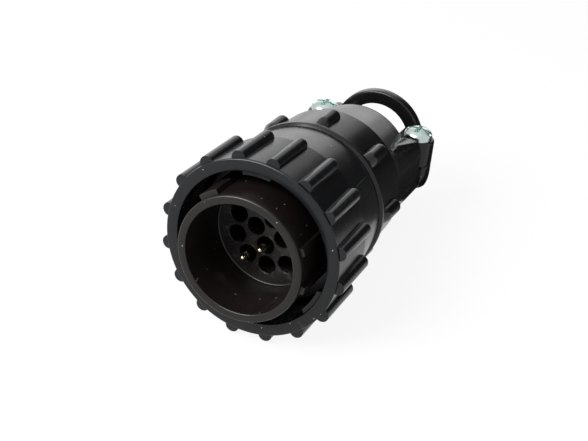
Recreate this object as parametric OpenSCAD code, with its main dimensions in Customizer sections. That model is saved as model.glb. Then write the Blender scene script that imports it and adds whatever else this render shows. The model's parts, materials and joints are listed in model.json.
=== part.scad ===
// Circular plug: ribbed coupling ring, keyed shell with 14 cavities, cable clamp and strap.
// The connector's own axis is Y, nose at the low end, ring face at Y = 0, screws pointing up.
// place() then lays the whole plug down on two ribs of its ring and one rib of its clamp.

/* [Coupling ring] */
// Gap between the nose and the ring, which the mating half fills
ring_gap = 2.68; // [2.3:0.01:3.4]
// Wall of the ring at its front face, between the ribs
ring_wall = 2.37; // [1.6:0.01:3]
// Length of the ring
ring_len = 23.2; // [21:0.1:26]
// Wall of the ring at its rear end
ring_rear_wall = 1.45; // [1:0.05:2]
// Number of grip ribs
ring_ribs = 16; // [12:2:20]
// Width of a grip rib
ring_rib_w = 2.6; // [2:0.1:3]
// Height of a grip rib over the ring's front edge
ring_rib_h = 1.35; // [1.1:0.05:1.8]
// How much a grip rib falls from its front to its rear end
ring_rib_fall = 0.3; // [0.1:0.05:0.6]
// Where the ribs end
ring_rib_end = 12.7; // [10:0.1:14]
// How far the ring is turned on the shell from a rib straight below
ring_turn = 3.35; // [0:0.05:6]
// Width of a lug inside the mouth, in degrees
lug_angle = 22; // [14:1:30]
// How far a lug reaches in from the mouth
lug_h = 0.75; // [0.4:0.05:1.2]

/* [Plug shell] */
// Outer radius of the nose
nose_r = 12.15; // [11.8:0.05:12.4]
// Wall of the nose at its rim
nose_wall = 1.55; // [1.2:0.05:1.8]
// How far the nose stands out in front of the ring
nose_reach = 4.83; // [3:0.01:7]
// Depth of the contact face behind the ring's front
floor_y = 7.5; // [6:0.1:8.4]
// Clearance of the flange inside the ring
flange_gap = 0.53; // [0.3:0.01:1]
// Thickness of that flange
flange_t = 2.2; // [1.6:0.1:3]
// Width of the wide key, in degrees
wide_key_angle = 17.5; // [12:0.5:24]
// Width of a narrow key, in degrees
narrow_key_angle = 7.2; // [5:0.2:11]
// Height of the wide key
wide_key_h = 1; // [0.5:0.05:1.3]
// Height of the narrow keys
narrow_key_h = 0.75; // [0.4:0.05:1.2]

/* [Contacts] */
// Cavities on the outer circle
outer_count = 10; // [6:1:10]
// Radius of the outer circle of cavities
outer_circle_r = 6.71; // [6.6:0.01:7.1]
// Cavities on the inner circle
inner_count = 4; // [2:1:4]
// Radius of the inner circle of cavities
inner_circle_r = 2.81; // [2.7:0.01:2.9]
// Radius of a cavity at the contact face
cavity_r = 1.7; // [1.5:0.05:1.8]
// Radius of a pin
pin_r = 0.785; // [0.7:0.005:0.85]
// How far a pin stands out of the contact face
pin_reach = 2.65; // [1.5:0.05:4]

/* [Cable clamp] */
// How far the clamp's front lip stands proud of the ring's rear end
lip_over = 0.5; // [0.2:0.05:1]
// Step down from the lip to the collar
lip_step = 0.7; // [0.4:0.05:1.1]
// Length of the ribbed collar with its lip
collar_len = 11.9; // [11:0.1:13]
// Number of ribs on the collar
clamp_ribs = 8; // [4:4:12]
// Width of a rib on the collar
clamp_rib_w = 3; // [2.4:0.1:3.6]
// Height of the ribs on the collar
clamp_rib_h = 1.25; // [0.9:0.05:1.6]
// Length of the tapering housing behind the collar
taper_len = 13.1; // [12:0.1:14]
// Outer radius of the rear rim
rim_r = 10.8; // [10.4:0.05:11.3]
// Wall of the tapering housing
housing_wall = 1.4; // [1.1:0.05:1.8]

/* [Strap and screws] */
// Distance between the two screws
screw_spacing = 20.8; // [20.4:0.1:22]
// Distance of the screws behind the rear rim
screw_back = 4.2; // [3.9:0.1:5]
// Radius of an ear and of a strap foot
ear_r = 3.4; // [3.2:0.05:3.6]
// Height of a strap foot
foot_h = 5.2; // [4.6:0.1:6]
// Outer radius of the arch
arch_r = 9.55; // [9.2:0.05:9.9]
// Thickness of the arch
arch_t = 2.7; // [2:0.05:3]
// Wall of the trough below the cable
trough_wall = 2.6; // [2:0.1:3.4]
// Height of the arch's centre over the parting face
arch_rise = 1.2; // [0.8:0.1:2]
// Width of the arch along the plug
arch_w = 2.2; // [1.8:0.1:3]
// Clearance between a screw's head and the arch
arch_gap = 1.3; // [0.8:0.1:2]
// Radius of a screw's shank
screw_r = 1.6; // [1.4:0.05:1.75]
// Radius of a screw's head
head_r = 2.8; // [2.6:0.05:3]
// Height of a screw's head
head_h = 2.1; // [1.8:0.05:2.5]
// Length of a screw below its head
screw_len = 9; // [8.5:0.1:9.8]

/* [Hidden] */
$fn = 96;
far = 100;            // longer than anything it has to cut
edge = 0.3;           // small moulded chamfer
run_gap = 0.1;        // radial clearance of the ring on the shell
end_gap = 0.2;        // end play between ring and clamp
thread_gap = 0.05;    // clearance of threads, whose turns are not modelled

// Radii, worked out from the nose outwards
shoulder_r = nose_r + 0.55;         // the ring's inner shoulder, behind the flange
relief_r = shoulder_r + 0.8;        // the ring's rear end clears the shell by this much more
ring_bore_r = nose_r + ring_gap;
ring_r = ring_bore_r + ring_wall;
ring_rear_r = relief_r + ring_rear_wall;
flange_r = ring_bore_r - flange_gap;
lip_r = ring_rear_r + lip_over;
collar_r = lip_r - lip_step;
clamp_rib_r = collar_r + clamp_rib_h;

// Coupling ring
ring_top_r = ring_r + ring_rib_h;
ring_fall = 0.55;                   // fall of the ring's surface along its ribs
ring_skin = ring_bore_r + 1.2;      // ribs are rooted at this depth
rib_round = 0.6;                    // rounded rear end of a rib
rib_over = 0.1;                     // how far the ribs' trimming shape clears their crowns
rib_rear_r = ring_top_r - ring_rib_fall;
rib_chord = 15;                     // angle of the first facet of the rounded end
collar_step_r = ring_r - 0.9;       // where the plain rear collar starts
rib_front = 0.45;                   // step back from the ring's face to a rib's
rib_slope = 0.12;
lug_centre = 92;
lug_y = 0.5;
lug_len = 2;
lug_count = 3;
shoulder_len = 3;

// Plug shell
flange_y = floor_y + 1.5;
flange_end = flange_y + flange_t;
shoulder_y = flange_end + end_gap;
barrel_r = shoulder_r - run_gap;
thread_r = barrel_r - 0.5;
seat_y = ring_len + end_gap;
thread_len = 8.1;
thread_end = seat_y + thread_len;
nose_bore_r = nose_r - nose_wall;
insert_end = thread_end - 4.5;
rear_bore_r = thread_r - 1.8;
key_front = -nose_reach + 0.9;
wide_key_centre = 125;
narrow_keys = [23.3, -11];

// Cavities, from the contact face to the rear of the insert
outer_phase = 19.2;
inner_phase = -10.5;
cavity_len = 7.7;
neck_y = floor_y + cavity_len;
neck_len = 1.8;
neck_r = pin_r + 0.25;
pocket_y = neck_y + neck_len;       // wide stretch that the clip's lances open into
pocket_len = 4.5;
pocket_r = 1.85;
wire_r = 1.55;
outer_pin = 6;
inner_pin = 3;

// Pins and clips
pin_shoulder_r = neck_r + 0.25;
pin_shoulder_t = 0.9;
pin_body_r = 0.95;
barrel_len = 7;
crimp_len = 4;
crimp_wall = 0.25;
clip_y = pocket_y + pin_shoulder_t;
clip_len = 2.9;
clip_wall = 0.15;
clip_r = pin_body_r + 0.03;
lance_w = 0.7;

// Cable clamp
lip_len = 1.4;
collar_end = seat_y + collar_len;
collar_end_r = collar_r - 0.55;
rib_start = seat_y + lip_len;
rib_end = collar_end - 2.8;
clamp_rib_round = 0.5;
clamp_rib_root = collar_r - 2;      // ribs are rooted at this depth
rim_y = collar_end + taper_len;
rim_bore_r = rim_r - housing_wall;
wing_y = collar_end + 1.6;
wing_r = collar_end_r - 0.4;
wing_t = 1;
wing_top = 40;
wing_bottom = -20;
screw_x = screw_spacing / 2;
screw_y = rim_y + screw_back;
foot_front = screw_y - ear_r;
arch_y = screw_y + head_r + arch_gap;
strap_end = arch_y + arch_w;
arch_in_r = arch_r - arch_t;
ear_straight = 1.5;   // below this the ear narrows
ear_foot_r = ear_r - 1.1;
trough_r = arch_in_r + trough_wall;
trough_lap = 2;       // how far the trough runs into the housing
pilot_depth = screw_len - foot_h + 0.6;
ear_floor = 0.7;      // closed bottom below a screw's hole
ear_depth = pilot_depth + ear_floor;
pilot_r = screw_r + thread_gap;
foot_hole_r = screw_r + 0.2;
foot_turn = 35;       // where the round of a foot runs out into its straight side
foot_side_y = screw_y + ear_r * sin(foot_turn);
foot_side_x = screw_x + ear_r * cos(foot_turn);
foot_end_x = foot_side_x - (strap_end - foot_side_y) * tan(foot_turn);

// How the plug lies: two ribs of the ring and one of the clamp touch the ground
ring_crown = ring_rib_w / 2;
clamp_crown = clamp_rib_w / 2;
ring_touch_y = ring_rib_end - rib_round;
clamp_touch_y = rib_end - clamp_rib_round;
ring_drop = (rib_rear_r - ring_crown) * cos(180 / ring_ribs) + ring_crown;
clamp_drop = (clamp_rib_r - clamp_crown) * cos(ring_turn) + clamp_crown;
tilt = atan2(ring_drop - clamp_drop, clamp_touch_y - ring_touch_y);
lift = ring_drop * cos(tilt) + ring_touch_y * sin(tilt);
front_y = -nose_reach * cos(tilt) - (nose_r - edge) * sin(tilt);
rear_y = strap_end * cos(tilt) + (arch_rise * cos(ring_turn) + arch_r) * sin(tilt);
mid_y = (front_y + rear_y) / 2;

plastic = [0.075, 0.075, 0.08];
satin_plastic = [0.13, 0.13, 0.14];
shell_plastic = [0.11, 0.095, 0.09];
gilt = [0.83, 0.72, 0.45];
steel = [0.66, 0.67, 0.68];
zinc = [0.78, 0.82, 0.82];

// Lays a piece down in its resting place
module place() {
    translate([0, -mid_y, lift])
        rotate([-tilt, 0, 0])
            rotate([0, ring_turn, 0])
                children();
}

// Turns a piece about the plug's axis, from +X towards +Z
module around(angle) {
    rotate([0, -angle, 0])
        children();
}

// Solid of revolution about the plug's axis, from points [radius, y]
module turned(points, sweep = 360) {
    rotate([-90, 0, 0])
        rotate_extrude(angle = sweep)
            polygon(points);
}

// Sector of revolution centred on an angle
module turned_sector(points, centre, width) {
    around(centre + width / 2)
        turned(points, width);
}

// Plain rod along the plug's axis
module rod(r, y0, y1) {
    translate([0, y0, 0])
        rotate([-90, 0, 0])
            cylinder(r = r, h = y1 - y0);
}

// Half-round rib along the plug's axis, its crown at radius top, leaning inwards by fall degrees
module rib(w, base, top, y0, y1, fall = 0) {
    translate([top, y0, 0])
        rotate([-90, 0, fall])
            linear_extrude(y1 - y0) {
                translate([-w / 2, 0])
                    circle(d = w, $fn = 32);
                translate([base - top, -w / 2])
                    square([top - w / 2 - base, w]);
            }
}

// Places children at one cavity of a circle
module at_cavity(count, circle_r, phase, index) {
    around(phase + index * 360 / count)
        translate([circle_r, 0, 0])
            children();
}

module cavity() {
    rod(cavity_r, floor_y - 1, neck_y);
    rod(neck_r, neck_y - 1, pocket_y + 0.5);
    rod(pocket_r, pocket_y, pocket_y + pocket_len);
    rod(wire_r, pocket_y + pocket_len - 0.5, insert_end + 1);
}

module coupling_ring() {
    color(satin_plastic) place() {
        turned([[ring_bore_r + edge, 0], [ring_r - edge, 0], [ring_r, edge],
                [ring_r - ring_fall, ring_rib_end + 0.2], [collar_step_r, ring_rib_end + 0.7],
                [ring_rear_r, ring_len - edge], [ring_rear_r - edge, ring_len],
                [relief_r, ring_len], [relief_r, shoulder_y + shoulder_len],
                [shoulder_r, shoulder_y + shoulder_len], [shoulder_r, shoulder_y],
                [ring_bore_r, shoulder_y], [ring_bore_r, edge]]);
        intersection() {
            union() {
                for (i = [0 : ring_ribs - 1])
                    around(180 / ring_ribs + ring_turn + i * 360 / ring_ribs)
                        rib(ring_rib_w, ring_skin, ring_top_r, 0, ring_rib_end + 1,
                            atan(ring_rib_fall / ring_touch_y));
            }
            turned(concat([[ring_skin - 0.2, rib_front], [ring_r - 0.15, rib_front],
                           [ring_top_r + rib_over, rib_front + rib_slope],
                           [ring_top_r + rib_over,
                            ring_touch_y - (ring_rib_fall + rib_over) / tan(rib_chord)]],
                          [for (a = [2 * rib_chord : 2 * rib_chord : 90])
                              [rib_rear_r - rib_round * (1 - cos(a)),
                               ring_touch_y + rib_round * sin(a)]],
                          [[ring_skin - 0.2, ring_rib_end]]));
        }
        for (i = [0 : lug_count - 1])
            turned_sector([[ring_bore_r - lug_h, lug_y], [ring_bore_r + 0.5, lug_y],
                           [ring_bore_r + 0.5, lug_y + lug_len],
                           [ring_bore_r - lug_h, lug_y + lug_len - 0.4]],
                          lug_centre + i * 360 / lug_count, lug_angle);
    }
}

// Key on the outside of the nose, running back to the flange
module key(centre, width, height) {
    turned_sector([[nose_r - 0.5, key_front], [nose_r + height, key_front],
                   [nose_r + height, flange_y + 0.5], [nose_r - 0.5, flange_y + 0.5]],
                  centre, width);
}

module plug_shell() {
    color(shell_plastic) place() {
        difference() {
            turned([[0, floor_y], [nose_bore_r, floor_y], [nose_bore_r, edge - nose_reach],
                    [nose_bore_r + edge, -nose_reach], [nose_r - edge, -nose_reach],
                    [nose_r, edge - nose_reach], [nose_r, flange_y], [flange_r, flange_y],
                    [flange_r, flange_end], [barrel_r, flange_end], [barrel_r, seat_y],
                    [thread_r, seat_y], [thread_r, thread_end], [rear_bore_r, thread_end],
                    [rear_bore_r, insert_end], [0, insert_end]]);
            for (i = [0 : outer_count - 1])
                at_cavity(outer_count, outer_circle_r, outer_phase, i)
                    cavity();
            for (i = [0 : inner_count - 1])
                at_cavity(inner_count, inner_circle_r, inner_phase, i)
                    cavity();
        }
        key(wide_key_centre, wide_key_angle, wide_key_h);
        for (a = narrow_keys)
            key(a, narrow_key_angle, narrow_key_h);
    }
}

// Turned pin with a bullet tip, a locating shoulder and a crimp barrel
module pin_contact() {
    tip_y = floor_y - pin_reach;
    difference() {
        union() {
            translate([0, tip_y + pin_r, 0])
                sphere(r = pin_r, $fn = 48);
            rod(pin_r, tip_y + pin_r, pocket_y);
            rod(pin_shoulder_r, pocket_y, clip_y);
            rod(pin_body_r, clip_y, clip_y + barrel_len);
        }
        rod(pin_body_r - crimp_wall, clip_y + barrel_len - crimp_len, clip_y + barrel_len + 1);
    }
}

// Split spring sleeve with two lances that open into the wide stretch of the cavity
module contact_clip() {
    difference() {
        rod(clip_r + clip_wall, clip_y, clip_y + clip_len);
        rod(clip_r, clip_y - 1, clip_y + clip_len + 1);
        translate([-0.2, clip_y - 1, 0])
            cube([0.4, clip_len + 2, 2 * clip_r]);
    }
    for (side = [0, 180])
        around(side)
            translate([0, 0, -lance_w / 2])
                linear_extrude(lance_w)
                    polygon([[clip_r + 0.02, clip_y + 0.3], [clip_r + clip_wall, clip_y + 0.3],
                             [pocket_r - 0.12, clip_y + clip_len + 0.4],
                             [pocket_r - 0.27, clip_y + clip_len + 0.5]]);
}

module pin_contact_outer() {
    color(gilt) place()
        at_cavity(outer_count, outer_circle_r, outer_phase, outer_pin)
            pin_contact();
}

module pin_contact_inner() {
    color(gilt) place()
        at_cavity(inner_count, inner_circle_r, inner_phase, inner_pin)
            pin_contact();
}

module contact_clip_outer() {
    color(steel) place()
        at_cavity(outer_count, outer_circle_r, outer_phase, outer_pin)
            contact_clip();
}

module contact_clip_inner() {
    color(steel) place()
        at_cavity(inner_count, inner_circle_r, inner_phase, inner_pin)
            contact_clip();
}

// Upright round ear about a screw, narrowing towards its foot
module ear(side, z1) {
    translate([side * screw_x, screw_y, -ear_straight])
        cylinder(r = ear_r, h = z1 + ear_straight, $fn = 32);
    translate([side * screw_x, screw_y, -ear_depth])
        cylinder(r = ear_foot_r, h = 1, $fn = 32);
}

// Side wall that runs from the full radius of the housing back to an ear
module wing(side) {
    hull() {
        intersection() {
            rotate([-90, 0, 0])
                translate([0, 0, wing_y])
                    cylinder(r = wing_r, h = wing_t, $fn = 48);
            rotate([0, side > 0 ? 0 : 180, 0])
                translate([wing_r * cos(wing_top), 0,
                           side > 0 ? wing_r * sin(wing_bottom) : -wing_r * sin(wing_top)])
                    cube([wing_r, far, wing_r * (sin(wing_top) - sin(wing_bottom))]);
        }
        ear(side, foot_h);
    }
}

module cable_clamp() {
    color(plastic) place()
        difference() {
            union() {
                turned([[0, seat_y], [lip_r - 0.5, seat_y], [lip_r, seat_y + 0.5],
                        [lip_r, seat_y + lip_len - edge], [lip_r - edge, seat_y + lip_len],
                        [collar_r, seat_y + lip_len], [collar_end_r, collar_end],
                        [collar_end_r - 0.3, collar_end + 0.2], [rim_r, rim_y], [0, rim_y]]);
                intersection() {
                    union() {
                        for (i = [0 : clamp_ribs - 1])
                            around(90 + i * 360 / clamp_ribs)
                                rib(clamp_rib_w, clamp_rib_root, clamp_rib_r,
                                    rib_start - 0.2, rib_end);
                    }
                    turned([[clamp_rib_root, rib_start - 0.2], [clamp_rib_r, rib_start - 0.2],
                            [clamp_rib_r, rib_end - clamp_rib_round],
                            [clamp_rib_r - clamp_rib_round, rib_end],
                            [clamp_rib_root, rib_end]]);
                }
                for (side = [-1, 1])
                    wing(side);
                hull() {
                    for (side = [-1, 1])
                        ear(side, 0);
                    intersection() {
                        rod(trough_r, rim_y - trough_lap, strap_end);
                        translate([-far / 2, 0, -far])
                            cube([far, far, far]);
                    }
                }
            }
            // thread for the shell, then the hollow of the housing
            turned([[0, seat_y - 1], [thread_r + thread_gap, seat_y - 1],
                    [thread_r + thread_gap, thread_end + 0.5],
                    [collar_end_r - housing_wall, collar_end],
                    [rim_bore_r, rim_y], [0, rim_y]]);
            // the cable's trough
            rod(arch_in_r, rim_y - 3, strap_end + 1);
            // open top behind the rim, where the strap's feet sit
            translate([-far / 2, rim_y, 0])
                cube([far, far, far]);
            for (side = [-1, 1])
                translate([side * screw_x, screw_y, -pilot_depth])
                    cylinder(r = pilot_r, h = pilot_depth + 1, $fn = 48);
        }
}

// Foot of the strap: round about the screw, with straight sides back to the arch
module strap_foot() {
    linear_extrude(foot_h) {
        translate([screw_x, screw_y])
            circle(r = ear_r);
        polygon([[arch_in_r - 0.5, screw_y], [screw_x, screw_y], [foot_side_x, foot_side_y],
                 [foot_end_x, strap_end], [arch_in_r - 0.5, strap_end]]);
    }
}

module clamp_strap() {
    color(plastic) place()
        difference() {
            union() {
                intersection() {
                    translate([0, 0, arch_rise])
                        rod(arch_r, arch_y, strap_end);
                    translate([-far / 2, 0, 0])
                        cube([far, far, far]);
                }
                for (side = [0, 1])
                    mirror([side, 0, 0])
                        strap_foot();
            }
            translate([0, 0, arch_rise])
                rod(arch_in_r, foot_front - 1, strap_end + 1);
            translate([-arch_in_r, foot_front - 1, -1])
                cube([2 * arch_in_r, strap_end - foot_front + 2, arch_rise + 1]);
            for (side = [-1, 1])
                translate([side * screw_x, screw_y, -1])
                    cylinder(r = foot_hole_r, h = foot_h + 2, $fn = 48);
        }
}

// Pan-head screw with a slot and a cross in its head
module clamp_screw(side) {
    crown = 0.45 * head_h;
    slot_w = 0.8;
    slot_d = 0.9;
    color(zinc) place()
        translate([side * screw_x, screw_y, foot_h])
            difference() {
                rotate_extrude()
                    polygon([[0, -screw_len], [screw_r - 0.4, -screw_len],
                             [screw_r, 0.6 - screw_len], [screw_r, 0], [head_r, 0],
                             [head_r, crown], [head_r * 0.9, head_h * 0.72],
                             [head_r * 0.65, head_h * 0.92], [head_r * 0.3, head_h],
                             [0, head_h]]);
                translate([-head_r - 1, -slot_w / 2, head_h - slot_d])
                    cube([2 * head_r + 2, slot_w, slot_d + 1]);
                translate([-slot_w / 2, -head_r * 0.6, head_h - slot_d])
                    cube([slot_w, head_r * 1.2, slot_d + 1]);
            }
}

module clamp_screw_near() {
    clamp_screw(1);
}

module clamp_screw_far() {
    clamp_screw(-1);
}

coupling_ring();
plug_shell();
pin_contact_outer();
pin_contact_inner();
contact_clip_outer();
contact_clip_inner();
cable_clamp();
clamp_strap();
clamp_screw_near();
clamp_screw_far();
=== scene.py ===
"""Dresses a packed circular plug: ribbed ring, keyed shell, contacts, cable clamp, strap, screws.

Every shape is worked out in the plug's own axes, in metres: X across, Y along it from the ring's
front face to the rear, Z the way the screws point. placed() then lays it where the packed part
lies. Angles run about Y, from X towards Z.
"""

import json
import math

import bmesh
import bpy
import numpy as np
from bpy.props import FloatProperty, FloatVectorProperty, IntProperty, PointerProperty
from mathutils import Matrix


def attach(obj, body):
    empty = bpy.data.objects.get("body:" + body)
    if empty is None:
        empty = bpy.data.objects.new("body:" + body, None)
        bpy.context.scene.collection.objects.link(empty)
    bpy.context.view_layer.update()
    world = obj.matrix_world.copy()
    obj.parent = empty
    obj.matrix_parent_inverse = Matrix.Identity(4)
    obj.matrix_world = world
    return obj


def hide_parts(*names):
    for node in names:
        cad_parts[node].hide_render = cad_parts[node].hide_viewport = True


bl_info = {
    "name": "Circular Plug",
    "version": (1, 0, 0),
    "blender": (4, 5, 0),
    "location": "View3D > Sidebar > Plug",
    "description": "Builds the detailed surfaces and finishes of a circular cable plug",
    "category": "Object",
}

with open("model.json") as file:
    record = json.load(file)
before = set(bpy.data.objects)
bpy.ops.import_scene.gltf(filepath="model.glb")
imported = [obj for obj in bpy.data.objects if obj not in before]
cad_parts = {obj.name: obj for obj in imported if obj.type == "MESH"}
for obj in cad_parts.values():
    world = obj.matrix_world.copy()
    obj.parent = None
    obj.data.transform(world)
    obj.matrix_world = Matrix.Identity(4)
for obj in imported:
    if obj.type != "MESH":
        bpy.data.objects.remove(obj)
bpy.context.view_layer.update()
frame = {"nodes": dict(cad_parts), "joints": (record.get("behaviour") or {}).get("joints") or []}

MM = 0.001
DEG = math.pi / 180
JOINTS = {j["name"]: j for j in frame["joints"]}
ALONG = np.array(JOINTS["ring_turn"]["axis"])
UPWARD = np.array(JOINTS["strap_lift"]["axis"])
ACROSS = np.cross(ALONG, UPWARD)
RING_PIVOT = 12 * MM  # the ring's joint lies this far behind the ring's front face
ORIGIN = np.array(JOINTS["ring_turn"]["pos_m"]) - RING_PIVOT * ALONG
MERGE = 1e-7
STEP = 1e-5  # a step in a profile: too short to be seen, too long to be merged
CLEAR = 0.03 * MM  # keeps faces that are joined or cut off each other's planes

NARROW_KEYS = np.array([23.3, -11]) * DEG
NECK, NECK_LENGTH = 1.035 * MM, 1.8 * MM  # narrow part of a cavity
POCKET, POCKET_LENGTH = 1.85 * MM, 4.5 * MM  # wide part behind it, for the clip
WIRE_WAY = 1.55 * MM
TAIL = ((1.285, 0), (1.285, 0.9), (0.95, 0.9), (0.95, 7.9), (0.7, 7.9), (0.7, 3.9), (0, 3.9))

RUBBED, DUST = (0.05, 0.05, 0.052), (0.2, 0.2, 0.19)
PLASTIC_SPECULAR = 0.3
FLOOR_HALF, FLOOR_TONE, FLOOR_WHITE = 3.0, 0.86, 0.9
SOFT_LIGHT = 0.3
CAMERA_AT = (0.106080, -0.229798, 0.166607)
CAMERA_AZIMUTH = 25.6696 * DEG
CAMERA_ELEVATION = 31.7249 * DEG
CAMERA_ROLL = 0.5027 * DEG
CAMERA_LENS = 93.902
# the card's tone is painted shade, seen only in reflections of the plug's right side
PAINTED_SHADE_TONE, CARD_NEAR, CARD_FAR, CARD_HEIGHT = 0.03, 0.03, 0.4, 0.3
CARD_FROM, CARD_TO = 4 * DEG, 46 * DEG
LAMPS = (
    # name, width, height, power, place
    ("back_left_panel", 0.8, 0.4, 0.95, (-0.42, 0.74, 0.15)),
    ("front_left_lamp", 0.25, 0.25, 2.6, (-0.14, -0.22, 0.26)),
    ("overhead_panel", 0.8, 0.8, 0.5, (-0.15, 0.1, 0.8)),
)


def length(name, millimetres, description):
    """A length property whose default is given in millimetres."""
    return FloatProperty(
        name=name, description=description, default=millimetres * MM, unit="LENGTH", precision=5
    )


def angle(name, degrees, description):
    """An angle property whose default is given in degrees."""
    return FloatProperty(
        name=name, description=description, default=degrees * DEG, subtype="ANGLE"
    )


def colour(name, rgb, description):
    """A colour property."""
    return FloatVectorProperty(
        name=name, description=description, default=rgb, subtype="COLOR", size=3, min=0, max=1
    )


def share(name, value, description):
    """A property between nought and one."""
    return FloatProperty(
        name=name, description=description, default=value, min=0, max=1, subtype="FACTOR"
    )


# ---------------------------------------------------------------- sizes and finishes


class RingSizes(bpy.types.PropertyGroup):
    """Sizes of the coupling ring."""

    radius: length("Radius", 17.2, "Radius at the front face, between the ribs")
    bore: length("Mouth radius", 14.83, "Radius of the mouth")
    rear_radius: length("Rear radius", 14.95, "Radius of the plain collar at its rear end")
    step_radius: length("Step radius", 16.3, "Radius where the plain collar starts")
    relief: length("Relief radius", 13.5, "Inner radius behind the shoulder")
    shoulder: length("Shoulder radius", 12.7, "Inner radius of the shoulder behind the flange")
    shoulder_at: length("Shoulder place", 11.4, "Where the shoulder starts")
    shoulder_width: length("Shoulder width", 3, "Width of the shoulder")
    length: length("Length", 23.2, "Length of the ring")
    ribs: IntProperty(name="Ribs", description="Number of grip ribs", default=16, min=4)
    rib_turn: angle("Rib turn", 14.6, "Angle of the first rib")
    rib_width: length("Rib width", 2.6, "Width of a rib")
    rib_height: length("Rib height", 1.35, "Height of a rib over the front edge")
    rib_fall: length("Rib fall", 0.3, "How much a rib falls from front to rear")
    rib_front: length("Rib step", 0.5, "How far a rib's front face is set back")
    rib_end: length("Rib end", 12.7, "Where the ribs end")
    fall: length("Surface fall", 0.55, "How much the surface falls along the ribs")
    lugs: IntProperty(name="Lugs", description="Number of lugs inside the mouth", default=3)
    lug_centre: angle("Lug place", 92, "Angle of the first lug")
    lug_width: angle("Lug width", 22, "Width of a lug")
    lug_height: length("Lug height", 0.75, "How far a lug reaches in")
    lug_front: length("Lug front", 0.5, "Where the lugs start")
    lug_end: length("Lug end", 2.5, "Where the lugs end")
    edge: length("Edge", 0.28, "Round of the moulded edges")
    seam: angle("Seam", 38.6, "Angle of the parting line on the collar")
    seam_height: length("Seam height", 0.06, "Height of the parting line")


class ShellSizes(bpy.types.PropertyGroup):
    """Sizes of the plug shell."""

    nose: length("Nose radius", 12.15, "Outer radius of the nose")
    wall: length("Nose wall", 1.55, "Wall of the nose at its rim")
    reach: length("Nose reach", 4.83, "How far the nose stands out of the ring")
    floor: length("Contact face", 7.5, "Depth of the contact face")
    flange: length("Flange radius", 14.3, "Radius of the flange that the ring pulls on")
    flange_at: length("Flange place", 9, "Where the flange starts")
    flange_width: length("Flange width", 2.2, "Thickness of the flange")
    barrel: length("Barrel radius", 12.6, "Radius of the barrel under the ring")
    seat: length("Seat", 23.4, "Where the clamp seats")
    thread: length("Thread radius", 12.1, "Radius of the threaded rear")
    thread_end: length("Thread end", 31.5, "Rear end of the thread")
    insert_end: length("Insert end", 27, "Rear face of the insert")
    rear_bore: length("Rear bore", 10.3, "Bore behind the insert")
    key_front: length("Key front", -3.93, "Where the keys start")
    wide_key: angle("Wide key", 125, "Angle of the wide key")
    wide_key_width: angle("Wide key width", 17.5, "Width of the wide key")
    wide_key_height: length("Wide key height", 1, "Height of the wide key")
    narrow_key_width: angle("Narrow key width", 7.2, "Width of a narrow key")
    narrow_key_height: length("Narrow key height", 0.75, "Height of a narrow key")
    edge: length("Edge", 0.3, "Round of the moulded edges")


class ContactSizes(bpy.types.PropertyGroup):
    """Sizes of the cavities and pins."""

    outer_count: IntProperty(name="Outer", description="Cavities on the outer circle", default=10)
    outer_circle: length("Outer circle", 6.71, "Radius of the outer circle of cavities")
    outer_phase: angle("Outer phase", 19.2, "Angle of the first outer cavity")
    inner_count: IntProperty(name="Inner", description="Cavities on the inner circle", default=4)
    inner_circle: length("Inner circle", 2.81, "Radius of the inner circle of cavities")
    inner_phase: angle("Inner phase", -10.5, "Angle of the first inner cavity")
    cavity: length("Cavity radius", 1.7, "Radius of a cavity at the contact face")
    mouth: length("Mouth chamfer", 0.14, "Chamfer of a cavity's mouth")
    depth: length("Cavity depth", 7.7, "Depth of the wide part of a cavity")
    pin: length("Pin radius", 0.785, "Radius of a pin")
    pin_reach: length("Pin reach", 2.65, "How far a pin stands out of the contact face")
    outer_pin: IntProperty(name="Outer pin", description="Outer cavity with a pin", default=6)
    inner_pin: IntProperty(name="Inner pin", description="Inner cavity with a pin", default=3)


class ClampSizes(bpy.types.PropertyGroup):
    """Sizes of the cable clamp."""

    front: length("Front", 23.4, "Where the clamp starts")
    lip: length("Lip radius", 15.45, "Radius of the front lip")
    lip_width: length("Lip width", 1.4, "Width of the front lip")
    collar: length("Collar radius", 14.75, "Radius of the collar behind the lip")
    collar_end: length("Collar end", 35.3, "Where the collar ends")
    collar_end_radius: length("Collar end radius", 14.2, "Radius of the collar at its end")
    ribs: IntProperty(name="Ribs", description="Number of ribs on the collar", default=8, min=4)
    rib_width: length("Rib width", 3, "Width of a rib")
    rib_height: length("Rib height", 1.25, "Height of a rib over the collar")
    rib_end: length("Rib end", 32.5, "Where the ribs end")
    rim: length("Rim", 48.4, "Where the tapering housing ends")
    rim_radius: length("Rim radius", 10.8, "Outer radius of the rear rim")
    rim_bore: length("Rim bore", 9.4, "Inner radius of the rear rim")
    wall: length("Wall", 1.4, "Wall of the housing")
    thread: length("Thread radius", 12.15, "Inner radius over the shell's thread")
    thread_end: length("Thread end", 32, "Where the thread's bore ends")
    wall_front: length("Side wall front", 36.9, "Where the side walls start")
    wall_radius: length("Side wall radius", 13.4, "Radius of the side walls at their front")
    wall_top: angle("Side wall top", 40, "Angle of the side walls' top edge")
    shoulder: length("Side wall shoulder", 5, "Height over which the side walls' tops round off")
    ear: length("Ear radius", 3.4, "Radius of an ear")
    ear_foot: length("Ear foot radius", 2.3, "Radius of an ear at its foot")
    ear_slim: share("Ear blend", 0.72, "Share of an ear's radius that its side wall runs to")
    ear_straight: length("Ear straight", 1.5, "How far below the parting face an ear is straight")
    ear_depth: length("Ear depth", 5.1, "How far an ear reaches below the parting face")
    trough: length("Trough radius", 9.45, "Outer radius of the trough")
    pilot_radius: length("Screw hole", 1.65, "Radius of a screw's hole")
    pilot_depth: length("Screw hole depth", 4.4, "Depth of a screw's hole")


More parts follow.
